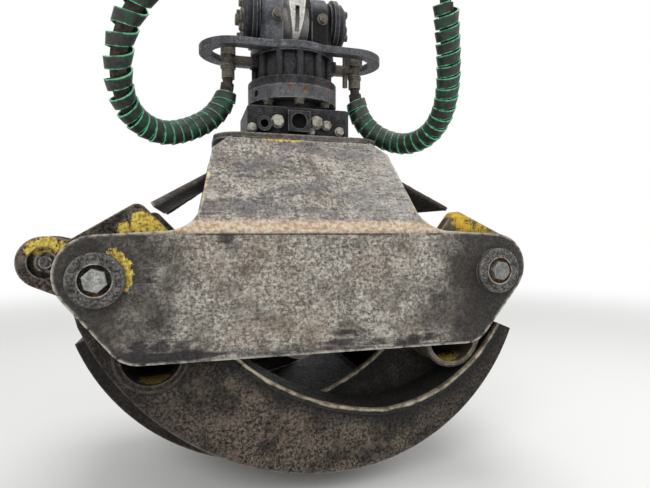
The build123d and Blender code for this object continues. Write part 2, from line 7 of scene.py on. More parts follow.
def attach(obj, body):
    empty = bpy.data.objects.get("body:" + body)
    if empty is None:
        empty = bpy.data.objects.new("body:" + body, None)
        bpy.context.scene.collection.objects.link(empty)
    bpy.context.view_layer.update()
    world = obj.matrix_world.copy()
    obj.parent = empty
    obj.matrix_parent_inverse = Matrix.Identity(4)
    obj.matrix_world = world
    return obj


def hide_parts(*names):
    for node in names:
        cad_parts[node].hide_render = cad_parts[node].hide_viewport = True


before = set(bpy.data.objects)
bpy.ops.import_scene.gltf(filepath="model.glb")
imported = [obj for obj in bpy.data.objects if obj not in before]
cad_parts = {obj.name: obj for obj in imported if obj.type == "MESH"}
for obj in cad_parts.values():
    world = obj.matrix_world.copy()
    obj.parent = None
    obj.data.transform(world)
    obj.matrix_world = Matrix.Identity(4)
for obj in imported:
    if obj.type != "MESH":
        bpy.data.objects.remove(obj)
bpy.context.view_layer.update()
bpy.ops.object.select_all(action="DESELECT")


# Hanger link: one steel casting, bored at its head for the pin that it hangs on, with a lug below that
# sits on the swing pin between the clevis's cheeks. Years of swinging have rubbed it bare.

def rgb(code):
    """Linear colour of an sRGB hex code."""
    channels = [int(code[i:i + 2], 16) / 255 for i in (1, 3, 5)]
    return [*(c / 12.92 if c <= 0.04045 else ((c + 0.055) / 1.055) ** 2.4 for c in channels), 1.0]


def add(tree, kind, inputs, out=0, **settings):
    """Add one shader node with its settings, set or link its inputs, and return one of its outputs if any."""
    node = tree.nodes.new("ShaderNode" + kind)
    for name, value in settings.items():
        setattr(node, name, value)
    for key, value in inputs.items():
        if isinstance(value, bpy.types.NodeSocket):
            tree.links.new(value, node.inputs[key])
        else:
            node.inputs[key].default_value = value
    return node.outputs[out] if node.outputs else None


def start_material(name):
    """An empty node material, its tree and its Object coordinates."""
    material = bpy.data.materials.new(name)
    material.use_nodes = True
    material.node_tree.nodes.clear()
    place = add(material.node_tree, "TexCoord", {}, out="Object")
    return material, material.node_tree, place


def patches(tree, place, spacing, low, high, stretch=(1, 1, 1), turn=(0, 0, 0), shift=0.0, detail=6,
            ragged=0.66):
    """Mask of soft-edged patches about spacing millimetres apart: 0 where noise is under low, 1 over high."""
    turned = add(tree, "Mapping", {"Vector": place, "Location": (shift,) * 3, "Rotation": turn,
                                   "Scale": stretch})
    noise = add(tree, "TexNoise", {"Vector": turned, "Scale": 1000 / spacing, "Detail": detail,
                                   "Roughness": ragged})
    return add(tree, "MapRange", {0: noise, 1: low, 2: high}, interpolation_type="SMOOTHSTEP")


def times(tree, first, second):
    """Product of two masks."""
    return add(tree, "Math", {0: first, 1: second}, operation="MULTIPLY")


def over(tree, colour, mask, layer, strength=1.0):
    """A layer over a colour, both hex codes or outputs, seen where its mask is 1, at most by its strength."""
    below, above = (rgb(tone) if isinstance(tone, str) else tone for tone in (colour, layer))
    return add(tree, "Mix", {0: times(tree, mask, strength), 6: below, 7: above}, out=2, data_type="RGBA")


def mottled(tree, colour, place, layers):
    """A colour under layers of patches, each (spacing in millimetres, low, high, shift, colour, strength)."""
    for spacing, low, high, shift, tone, strength in layers:
        colour = over(tree, colour, patches(tree, place, spacing, low, high, shift=shift), tone, strength)
    return colour


def rubbed(tree, place, width):
    """Mask of outer edges rubbed bare, about width millimetres wide and ragged."""
    flat, sharp = 0.9, 0.62
    inner = add(tree, "AmbientOcclusion", {"Distance": width / 1000}, out="AO", inside=True, only_local=True,
                samples=6)
    thin = add(tree, "MapRange", {0: inner, 1: flat, 2: sharp}, interpolation_type="SMOOTHSTEP")
    return times(tree, thin, patches(tree, place, 14, 0.36, 0.56))


def dirt_and_shade_corners(tree, reach):
    """Mask of corners and gaps within reach millimetres of a neighbour, for grime and painted shade."""
    swept, closed = 0.85, 0.25
    open_share = add(tree, "AmbientOcclusion", {"Distance": reach / 1000}, out="AO", samples=6)
    return add(tree, "MapRange", {0: open_share, 1: swept, 2: closed}, interpolation_type="SMOOTHSTEP")


def finish_material(material, tree, colour, roughness, metallic, relief, depth, rounding=1.5, sheen=0.5):
    """Join colour, roughness and relief to the surface; depth and rounding are in millimetres."""
    soft = add(tree, "Bevel", {"Radius": rounding / 1000}, samples=4)
    normal = add(tree, "Bump", {"Height": relief, "Distance": depth / 1000, "Normal": soft})
    shader = add(tree, "BsdfPrincipled", {"Base Color": colour, "Roughness": roughness, "Metallic": metallic,
                                          "Specular IOR Level": sheen, "Normal": normal})
    add(tree, "OutputMaterial", {"Surface": shader})
    return material


def grimy_steel(name, tones, blotch=70, grain=5, metallic=0.3, roughness=(0.5, 0.85), edge_width=6, marks=0.5,
                depth=0.5, dirt_and_shade_reach=45, rounding=1.5, sheen=0.5, under_edges=None, bite=None):
    """Weathered steel: mottled in blotches, speckled by its grain, bright on rubbed edges, and darkened in
    corners by grime and painted shade.

    tones are light, middle, dark, edge and corner colours, and sizes are in millimetres; the corner colour
    is grime and painted shade. The last two arguments are functions that lay a piece's own marks under and
    over its rubbed edges.
    """
    light, middle, dark, edge, corner_dirt_and_shade = tones
    material, tree, place = start_material(name)
    speckle = patches(tree, place, 1.3 * grain, 0.42, 0.58, detail=9, ragged=0.8)
    colour = over(tree, middle, speckle, light)
    colour = mottled(tree, colour, place, (
        (blotch, 0.42, 0.62, 0, dark, 0.75),
        (blotch / 2.6, 0.5, 0.68, 3, light, 0.5),
        (1.5 * grain, 0.52, 0.66, 5, dark, marks),
    ))
    # Grime and painted shade in corners and gaps, where a neighbour is near.
    colour = over(tree, colour, dirt_and_shade_corners(tree, dirt_and_shade_reach), corner_dirt_and_shade, 0.85)
    if under_edges:
        colour = under_edges(tree, colour, place)
    colour = over(tree, colour, rubbed(tree, place, edge_width), edge, 0.9)
    if bite:
        colour = bite(tree, colour, place)
    smooth, rough = roughness
    uneven = add(tree, "MapRange", {0: speckle, 3: rough, 4: smooth})
    relief = add(tree, "Math", {0: speckle, 1: patches(tree, place, 30, 0.3, 0.7)}, operation="ADD")
    return finish_material(material, tree, colour, uneven, metallic, relief, depth, rounding, sheen)


def dress(material, *nodes):
    """Give CAD nodes a material."""
    for name in nodes:
        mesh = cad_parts[name].data
        mesh.materials.clear()
        mesh.materials.append(material)


# Cast steel rubbed bare: pale and half bright, with rust-brown and painted shade in its hollows.
bare_cast_steel = grimy_steel(
    "cast_steel_rubbed_bare", ("#dcdad6", "#bcb9b4", "#77726c", "#f0eeea", "#2b1f17"), blotch=60, grain=3,
    metallic=0.4, roughness=(0.35, 0.6), marks=0.25, dirt_and_shade_reach=12)
dress(bare_cast_steel, "hanger_link")

# Clevis: the top of the rotator head, a steel casting whose two thick cheeks are bored for the swing pin.
# It is painted grey, and its right cheek is darkened to near black as painted shade.
# Named places are in millimetres, but for those of the hoses, the guards and the studio, which are in metres.
swing_height = -150
cheek_front = -62
# Centre of the painted shade on the right cheek.
cheek_shade = (62, cheek_front, -195)


def fade(tree, measure, none, full):
    """Mask that turns from 0 to 1 as a length goes from none to full millimetres, up or down."""
    ends = {0: measure, 1: none / 1000, 2: full / 1000}
    return add(tree, "MapRange", ends, interpolation_type="SMOOTHSTEP")


def beside(tree, place, centre, inner, outer, stray=0.0):
    """Mask that is 1 within inner millimetres of a point, 0 beyond outer; stray, in metres, bends its rim."""
    point = [c / 1000 for c in centre]
    reach = add(tree, "VectorMath", {0: place, 1: point}, out="Value", operation="DISTANCE")
    return fade(tree, add(tree, "Math", {0: reach, 1: stray}, operation="ADD"), outer, inner)


def shaded_cheek(tree, colour, place):
    """Painted shade: the right cheek darkened to near black."""
    return over(tree, colour, beside(tree, place, cheek_shade, 55, 88), "#040405", 0.95)


# Grey paint on cast steel: dull and mottled, with a thin pale line on its edges and painted shade on its
# right cheek.
grey_cast_steel = grimy_steel(
    "cast_steel_painted_grey", ("#6a6c72", "#505258", "#2c2d31", "#94959a", "#0a0a0b"), blotch=50, grain=4,
    metallic=0.15, roughness=(0.3, 0.6), edge_width=3, sheen=0.2, under_edges=shaded_cheek)
dress(grey_cast_steel, "head_clevis")

# Damper covers and swing pin: the pin is a steel bar through cheeks and link, and a round cast cover is
# bolted over each of its ends. Both are painted charcoal.
# Charcoal paint on cast steel: close to black, with little shine and thin pale edges.
dark_cast_steel = grimy_steel(
    "cast_steel_painted_charcoal", ("#35373c", "#212226", "#131316", "#7d7e82", "#08080a"), blotch=50,
    grain=4, metallic=0.15, roughness=(0.3, 0.6), edge_width=3, sheen=0.25)
dress(dark_cast_steel, "damper_covers", "swing_pin")

# Rotor flange: the cast iron ring that turns under the housing and carries all that hangs below it. Its
# charcoal paint has chipped, and rust shows in three places on its rim.
rust_tones = ("#3c2412", "#80592e")


def within(tree, place, spots):
    """Mask of several spots, each (centre, inner, outer) in millimetres."""
    mask = 0.0
    for centre, inner, outer in spots:
        mask = add(tree, "Math", {0: mask, 1: beside(tree, place, centre, inner, outer)}, operation="MAXIMUM")
    return mask


def old_paint(tree, colour, place, spots, shade="#8f702a", bright="#e4cb62"):
    """Enamel left in spots (centre, inner, outer) in millimetres, whole in the middle, flaked at its rim."""
    mask = within(tree, place, spots)
    flakes = add(tree, "TexNoise", {"Vector": place, "Scale": 1000 / 9, "Detail": 8, "Roughness": 0.72})
    ragged = add(tree, "MapRange", {0: flakes, 1: 0.32, 2: 0.68, 3: -0.72, 4: 0.5})
    left = add(tree, "Math", {0: mask, 1: ragged}, operation="ADD")
    left = add(tree, "MapRange", {0: left, 1: 0.48, 2: 0.6})
    tone = over(tree, shade, patches(tree, place, 6, 0.36, 0.6), bright)
    return over(tree, colour, left, tone)


def rusted_rim(tree, colour, place):
    """Rust in the chips of the flange's paint."""
    chips = (((-30, -108, -316), 4, 22), ((62, -90, -322), 2, 20), ((10, -108, -330), 2, 14))
    return old_paint(tree, colour, place, chips, *rust_tones)


# Charcoal paint on cast iron: dark grey and matt with road dirt.
greasy_iron = grimy_steel(
    "cast_iron_painted_charcoal", ("#626366", "#48494c", "#2b2c2f", "#7f7f81", "#0f0f0f"), blotch=45, grain=4,
    metallic=0.15, roughness=(0.4, 0.7), edge_width=4, under_edges=rusted_rim)
dress(greasy_iron, "rotor_flange")

# Rotator housing and port block: iron castings, the housing with ribs over its tie bolts and the block
# drilled for the oil's ports. Both stay wet with oil, so they look nearly black.
# Cast iron black with oil: hardly any shine, and grey only on its thin edges.
oily_iron = grimy_steel(
    "cast_iron_black_with_oil", ("#47474a", "#2f2e30", "#1a191a", "#6d6d70", "#060606"), blotch=45, grain=4,
    metallic=0.15, roughness=(0.35, 0.65), edge_width=3, dirt_and_shade_reach=30, sheen=0.15)
dress(oily_iron, "rotator_stator", "port_block")

# Guard hoop: a mild steel bar bent into a long loop round the head, which keeps knocks off the hose
# fittings. It is painted, and its two ends are darker.

def darkened_ends(tree, colour, place):
    """The hoop's two ends darkened, blacker and wider on the left."""
    for centre, inner, outer, end_tone, strength in (
        ((-225, -10, -236), 30, 95, "#060607", 0.8),
        ((225, -10, -236), 20, 80, "#0a0a0b", 0.7),
    ):
        colour = over(tree, colour, beside(tree, place, centre, inner, outer), end_tone, strength)
    return colour


# Worn paint on a drawn bar: smooth and even, with wide soft edges.
bent_bar = grimy_steel(
    "mild_steel_bar_painted", ("#6c6d72", "#46474b", "#1c1d1f", "#8f9094", "#080809"), blotch=90, grain=4,
    metallic=0.3, roughness=(0.3, 0.55), edge_width=2, rounding=7, sheen=0.25, under_edges=darkened_ends)
dress(bent_bar, "guard_hoop")

# Bolts in the head: plated steel hexagon bolts on plain washers, two screwed into the clevis's front and
# five into each damper cover, one in the middle and four round it.
cover_face = 118
cover_bolt_radius = 38


def soften(piece, width):
    """Put a piece's place into its mesh, round its sharp edges by width and shade its curved faces smooth."""
    sharp = math.radians(35)
    bpy.ops.object.select_all(action="DESELECT")
    piece.select_set(True)
    bpy.context.view_layer.objects.active = piece
    bpy.ops.object.transform_apply(location=True, rotation=True, scale=True)
    edges = piece.modifiers.new("edges", "BEVEL")
    edges.width = width
    edges.segments = 2
    edges.limit_method = "ANGLE"
    edges.angle_limit = sharp
    bpy.ops.object.modifier_apply(modifier="edges")
    bpy.ops.object.shade_smooth_by_angle(angle=sharp)
    bpy.ops.object.select_all(action="DESELECT")


def hexagon_bolt(name, across, height):
    """Hexagon head with chamfered corners on its washer, on the origin and facing up; sizes are in metres."""
    chamfer = 0.05 * across
    washer_radius = 0.66 * across
    washer_height = 0.14 * across
    bpy.ops.mesh.primitive_cylinder_add(vertices=6, radius=across / math.sqrt(3), depth=height,
                                        location=(0, 0, height / 2))
    head = bpy.context.object
    head.name = name
    bpy.ops.object.mode_set(mode="EDIT")
    bpy.ops.mesh.select_mode(type="FACE")
    bpy.ops.mesh.select_all(action="DESELECT")
    bpy.ops.object.mode_set(mode="OBJECT")
    for face in head.data.polygons:
        face.select = face.normal.z > 0.9
    bpy.ops.object.mode_set(mode="EDIT")
    bpy.ops.mesh.inset(thickness=chamfer)
    bpy.ops.transform.translate(value=(0, 0, chamfer))
    bpy.ops.object.mode_set(mode="OBJECT")
    bpy.ops.mesh.primitive_cylinder_add(vertices=32, radius=washer_radius, depth=washer_height,
                                        location=(0, 0, washer_height / 2))
    head.select_set(True)
    bpy.context.view_layer.objects.active = head
    bpy.ops.object.join()
    soften(head, 0.035 * across)
    return head


def set_copies(name, pattern, places, body, material):
    """Copy a piece made on the origin and facing up to places, each (point, facing, turn in degrees, scale).

    Points are in millimetres. The copies become one piece that rides on a body.
    """
    copies = []
    for point, facing, turn, scale in places:
        copy = pattern.copy()
        copy.data = pattern.data.copy()
        aim = Vector(facing).to_track_quat("Z", "Y").to_matrix().to_4x4()
        spin = Matrix.Rotation(math.radians(turn), 4, "Z")
        point = Vector(point) / 1000
        copy.data.transform(Matrix.Translation(point) @ aim @ spin @ Matrix.Scale(scale, 4))
        bpy.context.scene.collection.objects.link(copy)
        copies.append(copy)
    for copy in copies:
        copy.select_set(True)
    bpy.context.view_layer.objects.active = copies[0]
    bpy.ops.object.join()
    whole = copies[0]
    whole.name = name
    whole.data.materials.clear()
    whole.data.materials.append(material)
    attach(whole, body)
    bpy.ops.object.select_all(action="DESELECT")


# Zinc plate worn thin: brown and grey with dried oil, and fairly dull.
dull_zinc = grimy_steel(
    "zinc_plated_steel_dull", ("#7b7567", "#57524a", "#2e2a24", "#a09a8b", "#14110e"), blotch=18, grain=2.5,
    metallic=0.45, roughness=(0.4, 0.65), edge_width=2, dirt_and_shade_reach=14)
bolt = hexagon_bolt("hexagon_bolt", across=0.019, height=0.011)
clevis_places = []
for x, turn in ((58, 10), (-46, 40)):
    clevis_places.append(((x, cheek_front, swing_height - 5), (0, -1, 0), turn, 1.0))
set_copies("clevis_bolts", bolt, clevis_places, "rotator_head", dull_zinc)
cover_places = []
for side in (-1, 1):
    cover_places.append(((side * cover_face, 0, swing_height), (side, 0, 0), 15, 1.3))
    for i in range(4):
        angle = math.radians(45 + 90 * i)
        point = (side * cover_face, cover_bolt_radius * math.cos(angle),
                 swing_height + cover_bolt_radius * math.sin(angle))
        cover_places.append((point, (side, 0, 0), 25 * i, 0.8))
set_copies("cover_bolts", bolt, cover_places, "rotator_head", dull_zinc)

# Flange bolts: eight plated hexagon bolts in a ring, screwed up from below through the rotor flange's
# rim. They hold the flange to the rotor.
flange_bolt_radius = 91
flange_underside = -346
flange_places = []
for i in range(8):
    angle = math.radians(-92 + 45 * i)
    point = (flange_bolt_radius * math.cos(angle), flange_bolt_radius * math.sin(angle), flange_underside)
    flange_places.append((point, (0, 0, -1), 20 * i, 1.0))
set_copies("flange_bolts", bolt, flange_places, "grapple_frame", dull_zinc)

# Port plugs: plated hexagon plugs of several sizes, which close the oil ports drilled into the block's
# front and back. Each is (x, z, scale, turn in degrees).
block_face = 88
front_plugs = ((-106, -414, 0.84, 8), (-51, -398, 1.2, 20), (36, -396, 1.2, 5), (60, -401, 0.9, 25),
               (90, -413, 0.84, 12), (25, -417, 0.7, 40))
rear_plugs = ((-60, -400, 1.2, 12), (0, -400, 1.2, 3), (60, -400, 1.2, 25))
# Bright zinc plate, dulled: pale and fairly smooth, with brown oil and painted shade in the corners.
zinc_plate = grimy_steel(
    "zinc_plated_steel_bright", ("#c3bfb4", "#a39e93", "#5f5a50", "#dcd8cd", "#2a2621"), blotch=14, grain=2,
    metallic=0.5, roughness=(0.35, 0.6), edge_width=1.5, dirt_and_shade_reach=8)
plug_places = []
for side, plugs in ((-1, front_plugs), (1, rear_plugs)):
    for x, z, scale, turn in plugs:
        plug_places.append(((x, side * block_face, z), (0, side, 0), turn, scale))
set_copies("port_plugs", bolt, plug_places, "grapple_frame", zinc_plate)
bpy.data.objects.remove(bolt)

# Hose fittings: steel elbows screwed into the head, ferrules pressed on the hoses and couplings at their
# far ends. They have the bolts' plating, brown with dried oil and dust.
dress(dull_zinc, "hose_elbow_left", "hose_elbow_right", "hose_ferrule_left", "hose_ferrule_right",
      "hose_coupling_left", "hose_coupling_right")

# Hoses: two black rubber pressure hoses, 22 mm across, each in a woven textile sleeve. They hang in a
# loop from the rotator's fittings and rise to their couplings.
hose_diameter = 0.022
sleeve_diameter = 0.0296
sleeve_start = 0.035
sleeve_end = 0.975
hose_routes = {
    "left": [
        (-0.151, -0.015, -0.270), (-0.151, -0.015, -0.328), (-0.184, -0.024, -0.383),
        (-0.234, -0.045, -0.417), (-0.289, -0.073, -0.436), (-0.338, -0.111, -0.420),
        (-0.361, -0.155, -0.379), (-0.360, -0.193, -0.326), (-0.344, -0.224, -0.273),
        (-0.308, -0.248, -0.226), (-0.270, -0.271, -0.183),
    ],
    "right": [
        (0.151, -0.015, -0.270), (0.151, -0.015, -0.331), (0.184, -0.011, -0.385),
        (0.231, -0.028, -0.417), (0.271, -0.068, -0.430), (0.301, -0.115, -0.415),
        (0.312, -0.159, -0.375), (0.304, -0.195, -0.322), (0.287, -0.225, -0.269),
        (0.267, -0.251, -0.215), (0.249, -0.275, -0.161),
    ],
}

# Moulded nitrile rubber: near black and matt, with brown dust on it.
material, tree, place = start_material("nitrile_rubber_hose_moulded")
colour = mottled(tree, "#1c1b1a", place, ((12, 0.45, 0.7, 0, "#4a3a2f", 0.7),))
rubber = finish_material(material, tree, colour, 0.7, 0.0, patches(tree, place, 2, 0.3, 0.7), 0.3)

# Woven polyamide sleeve: black, soft and dull, with rust-brown dust. Its weave is drawn at 2 mm to show.
material, tree, place = start_material("polyamide_sleeve_woven")
weave = patches(tree, place, 2, 0.38, 0.62)
colour = over(tree, "#171614", weave, "#2f2c28")
colour = mottled(tree, colour, place, ((16, 0.46, 0.62, 0, "#5a463a", 0.75),))
sleeve_cloth = finish_material(material, tree, colour, 0.9, 0.0, weave, 0.4, 0.5)


def hose_curve(name, route):
    """One smooth spline whose control points are the route's points."""
    curve = bpy.data.curves.new(name, "CURVE")
    curve.dimensions = "3D"
    curve.resolution_u = 16
    spline = curve.splines.new("NURBS")
    spline.points.add(len(route) - 1)
    for point, place in zip(spline.points, route):
        point.co = (*place, 1)
    spline.order_u = 3
    spline.use_endpoint_u = True
    hose = bpy.data.objects.new(name, curve)
    bpy.context.scene.collection.objects.link(hose)
    return hose


def centre_line(hose):
    """Points along the hose's middle, read from its spline before it has a thickness."""
    bpy.context.view_layer.update()
    line = bpy.data.meshes.new_from_object(hose.evaluated_get(bpy.context.evaluated_depsgraph_get()))
    points = [vertex.co.copy() for vertex in line.vertices]
    bpy.data.meshes.remove(line)
    return points


def thicken_curve(piece, diameter, material):
    """Give a hose's spline its round section and material."""
    piece.data.bevel_depth = diameter / 2
    piece.data.bevel_resolution = 6
    piece.data.use_fill_caps = True
    piece.data.materials.append(material)


def lay_hose(side, route):
    """One hose in its sleeve; returns both with the points along their middle."""
    hose = hose_curve(f"rubber_hose_{side}", route)
    sleeve = hose_curve(f"textile_sleeve_{side}", route)
    points = centre_line(hose)
    thicken_curve(hose, hose_diameter, rubber)
    thicken_curve(sleeve, sleeve_diameter, sleeve_cloth)
    sleeve.data.bevel_factor_start = sleeve_start
    sleeve.data.bevel_factor_end = sleeve_end
    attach(hose, "rotator_head")
    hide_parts(f"hose_{side}")
    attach(sleeve, "rotator_head")
    return hose, sleeve, points


# Spiral guards: a flat strip of green polyethylene wound round each sleeve, scuffed and packed with
# dirt, so that its faces look nearly black and only its rubbed edges stay green. Lengths are in metres.
strip_width = 0.0205
strip_share_of_pitch = 0.62
strip_thickness = 0.0032
strip_inner_radius = 0.0200
strip_shingle = 0.0026
strip_steps_per_turn = 28
# Winding pitch along each hose, as (share of the length, pitch).
guard_windings = {
    "left": ((0.0, 0.0222), (0.30, 0.0191), (0.48, 0.0221), (0.60, 0.0345), (0.70, 0.039), (1.0, 0.039)),
    "right": ((0.0, 0.021), (0.4, 0.0205), (0.7, 0.0235), (1.0, 0.025)),
}
# Lengths of hose left bare at its start and its end.
guard_margins = {"left": (0.057, 0.030), "right": (0.050, 0.030)}


def straying(tree, place, spacing, reach, detail):
    """Amount by which a line strays, up to reach either way, with waves about spacing millimetres long."""
    noise = add(tree, "TexNoise", {"Vector": place, "Scale": 1000 / spacing, "Detail": detail})
    return add(tree, "MapRange", {0: noise, 1: 0.3, 2: 0.7, 3: -reach, 4: reach})


# Extruded polyethylene: green through and through, so rubbed edges show it where the faces are grimed.
# A pale painted highlight runs along the very edge.
material, tree, place = start_material("polyethylene_strip_extruded")
across = add(tree, "SeparateXYZ", {0: add(tree, "TexCoord", {}, out="UV")}, out="Y")
from_middle = add(tree, "Math", {0: across, 1: 0.5}, operation="SUBTRACT")
from_middle = add(tree, "Math", {0: from_middle}, operation="ABSOLUTE")
reach = add(tree, "Math", {0: from_middle, 1: straying(tree, place, 9, 0.06, detail=5)}, operation="ADD")
green_edge = add(tree, "MapRange", {0: reach, 1: 0.39, 2: 0.45}, interpolation_type="SMOOTHSTEP")
# The palest line along the strip's very edge is a painted highlight.
pale_highlight = add(tree, "MapRange", {0: reach, 1: 0.455, 2: 0.49}, interpolation_type="SMOOTHSTEP")
colour = mottled(tree, "#121916", place, (
    (16, 0.44, 0.62, 0, "#2f2a27", 0.85),
    (30, 0.48, 0.62, 4, "#124530", 0.75),
    (5, 0.54, 0.66, 2, "#4f4a44", 0.45),
))
colour = over(tree, colour, green_edge, "#1f7c52", 0.92)
colour = over(tree, colour, pale_highlight, "#7ccda2", 0.75)
guard_plastic = finish_material(material, tree, colour, 0.5, 0.0, patches(tree, place, 3, 0.3, 0.7), 0.3, 0.4)


def winding(points, pitches, start, end):
    """Rows along the guard, each (distance along the hose, turn, pitch at that share of its length)."""
    total = sum((b - a).length for a, b in zip(points, points[1:]))
    along = start
    turn = 0.0
    rows = []
    while along < total - end:
        share = along / total
        for (share_a, pitch_a), (share_b, pitch_b) in zip(pitches, pitches[1:]):
            if share_a <= share <= share_b:
                pitch = pitch_a + (pitch_b - pitch_a) * (share - share_a) / (share_b - share_a)
        rows.append((along, turn, pitch))
        along += pitch / strip_steps_per_turn
        turn += math.tau / strip_steps_per_turn
    return rows


def carried_frames(points):
    """Each point with its direction and a side that is carried along without twist."""
    frames = []
    side = Vector((0, 1, 0))
    for i, point in enumerate(points):
        before = points[max(i - 1, 0)]
        after = points[min(i + 1, len(points) - 1)]
        direction = (after - before).normalized()
        side = (side - direction * side.dot(direction)).normalized()
        frames.append((point, direction, side))
    return frames


def at_distance(frames, distance):
    """Point, direction and side at a distance along the hose."""
    walked = 0.0
    for (a, direction_a, side_a), (b, direction_b, side_b) in zip(frames, frames[1:]):
        step = (b - a).length
        if walked + step >= distance:
            share = (distance - walked) / step
            direction = direction_a.lerp(direction_b, share).normalized()
            side = side_a.lerp(side_b, share)
            side = (side - direction * side.dot(direction)).normalized()
            return a.lerp(b, share), direction, side
        walked += step
    return frames[-1]


def wind_guard(name, points, pitches, start, end):
    """Flat strip wound round the hose, then given its thickness; each turn laps a little over the last."""
    rows = winding(points, pitches, start, end)
    bpy.ops.mesh.primitive_grid_add(x_subdivisions=len(rows) - 1, y_subdivisions=4, size=1)
    strip = bpy.context.object
    strip.name = name
    frames = carried_frames(points)
    for vertex in strip.data.vertices:
        row = round((vertex.co.x + 0.5) * (len(rows) - 1))
        along, turn, pitch = rows[row]
        width = vertex.co.y * max(strip_width, strip_share_of_pitch * pitch)
        point, direction, side = at_distance(frames, along)
        other = direction.cross(side)
        outward = side * math.cos(turn) + other * math.sin(turn)
        lift = strip_inner_radius + strip_shingle * (0.5 + vertex.co.y)
        vertex.co = point + direction * width + outward * lift
    thicken = strip.modifiers.new("thickness", "SOLIDIFY")
    thicken.thickness = strip_thickness
    thicken.offset = 1
    thicken.use_rim = True
    bpy.ops.object.modifier_apply(modifier="thickness")
    bpy.ops.object.mode_set(mode="EDIT")
    bpy.ops.mesh.select_all(action="SELECT")
    bpy.ops.mesh.normals_make_consistent(inside=False)
    bpy.ops.object.mode_set(mode="OBJECT")
    bpy.ops.object.shade_smooth_by_angle(angle=math.radians(40))
    bpy.ops.object.select_all(action="DESELECT")
    return strip


for side, route in hose_routes.items():
    hose, sleeve, points = lay_hose(side, route)
    guard = wind_guard(f"spiral_guard_{side}", points, guard_windings[side], *guard_margins[side])
    guard.data.materials.append(guard_plastic)
    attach(guard, "rotator_head")
    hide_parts(f"hose_guard_{side}")

# Frame plates: two folded plates of wear-resistant steel, 20 mm thick, one in front of the jaws and one
# behind. Logs have polished the middle of each, and dirt stays round the pins. Painted shade darkens
# their ends.
pin_height = -720
fold_height = pin_height + 83
plate_face = -248
# Middle from which the painted shade towards the ends is measured.
end_shade_middle = -15


def apart(tree, coordinate, level=0):
    """Distance of a coordinate from a level in millimetres, to either side."""
    offset = add(tree, "Math", {0: coordinate, 1: level / 1000}, operation="SUBTRACT")
    return add(tree, "Math", {0: offset}, operation="ABSOLUTE")


def on_face(depth, spots):
    """Spots on a face at one depth, each (x, z, inner, outer), in the form (centre, inner, outer)."""
    return [((x, depth, z), inner, outer) for x, z, inner, outer in spots]


# Wear-resistant plate, rolled and folded: grey and scratched where logs slide, pale on the right of its
# neck, darker towards its ends with painted shade and blots of oil.
material, tree, place = start_material("wear_steel_plate_folded")
x, y, z = (add(tree, "SeparateXYZ", {0: place}, out=axis) for axis in "XYZ")
speckle = patches(tree, place, 6, 0.40, 0.60, detail=8, ragged=0.8)
colour = over(tree, "#6b645c", speckle, "#d1cbc0")
colour = mottled(tree, colour, place, (
    (60, 0.46, 0.62, 0, "#645d55", 0.6),
    (45, 0.5, 0.64, 7, "#cdc6ba", 0.5),
    (100, 0.5, 0.66, 3, "#86705c", 0.4),
))

# The neck above the fold: blue-grey stains, and a paler right side.
on_neck = fade(tree, z, fold_height, fold_height + 40)
stained = times(tree, on_neck, patches(tree, place, 60, 0.46, 0.60, shift=11, stretch=(0.6, 1, 1.4)))
colour = over(tree, colour, stained, "#63646b", 0.65)
colour = over(tree, colour, times(tree, on_neck, fade(tree, x, 20, 200)), "#cbc7c1", 0.42)

# Pits and slanted scratches.
colour = mottled(tree, colour, place, ((8, 0.53, 0.64, 1, "#4b4540", 0.6),))
scratches = patches(tree, place, 9, 0.55, 0.63, stretch=(0.5, 1, 1.8), turn=(0, 0.5, 0), shift=6, detail=8)
colour = over(tree, colour, scratches, "#423c39", 0.7)
colour = mottled(tree, colour, place, ((5, 0.56, 0.64, 9, "#332e2c", 0.75),))

# Below the fold: painted shade darkening both ends, blackest at the far right, and dirt in smears
# along the lower edge.
turned = add(tree, "Mapping", {"Vector": place, "Rotation": (0.5, 0.7, 0.4)})
wander = straying(tree, turned, 91, 0.08, detail=8)
sideways = add(tree, "Math", {0: apart(tree, x, end_shade_middle), 1: wander}, operation="ADD")
on_ends = times(tree, fade(tree, sideways, 200, 350), fade(tree, z, fold_height + 50, fold_height))
colour = over(tree, colour, on_ends, "#26221f", 0.93)
far_right = beside(tree, place, (400, plate_face, -800), 30, 140, stray=wander)
colour = over(tree, colour, far_right, "#221e1c", 0.75)
downward = add(tree, "Math", {0: z, 1: times(tree, wander, 0.4)}, operation="ADD")
smears = patches(tree, place, 45, 0.40, 0.55, stretch=(0.3, 1, 2.2), turn=(0, 0.06, 0))
on_bottom = times(tree, fade(tree, downward, pin_height - 105, pin_height - 145), smears)
colour = over(tree, colour, on_bottom, "#232123", 0.9)

# Blots of old oil, broken up by streaks along the plate, a fine dark grain over all, and one spot rubbed
# pale on the neck's left edge.
blots = within(tree, place, on_face(plate_face, (
    (-322, -848, 8, 30), (-290, -852, 10, 34), (-256, -856, 8, 30), (-226, -860, 2, 22), (-306, -722, 2, 9),
    (-172, -652, 3, 26), (170, -862, 4, 20), (200, -858, 6, 22), (232, -854, 2, 20),
)))
streaks = patches(tree, place, 26, 0.3, 0.66, stretch=(0.3, 1, 2.4), turn=(0, 0.05, 0), shift=13, detail=8)
broken = add(tree, "MapRange", {0: streaks, 3: -0.75, 4: 0.35})
blots = add(tree, "Math", {0: blots, 1: broken}, operation="ADD")
colour = over(tree, colour, add(tree, "MapRange", {0: blots, 1: 0.1, 2: 0.7}), "#221e24", 0.9)
dark_grain = patches(tree, place, 5, 0.5, 0.64, shift=15, detail=9, ragged=0.8)
colour = over(tree, colour, dark_grain, "#5d5851", 0.45)
colour = over(tree, colour, beside(tree, place, (-196, -200, -569), 4, 18), "#cfccc6", 0.55)

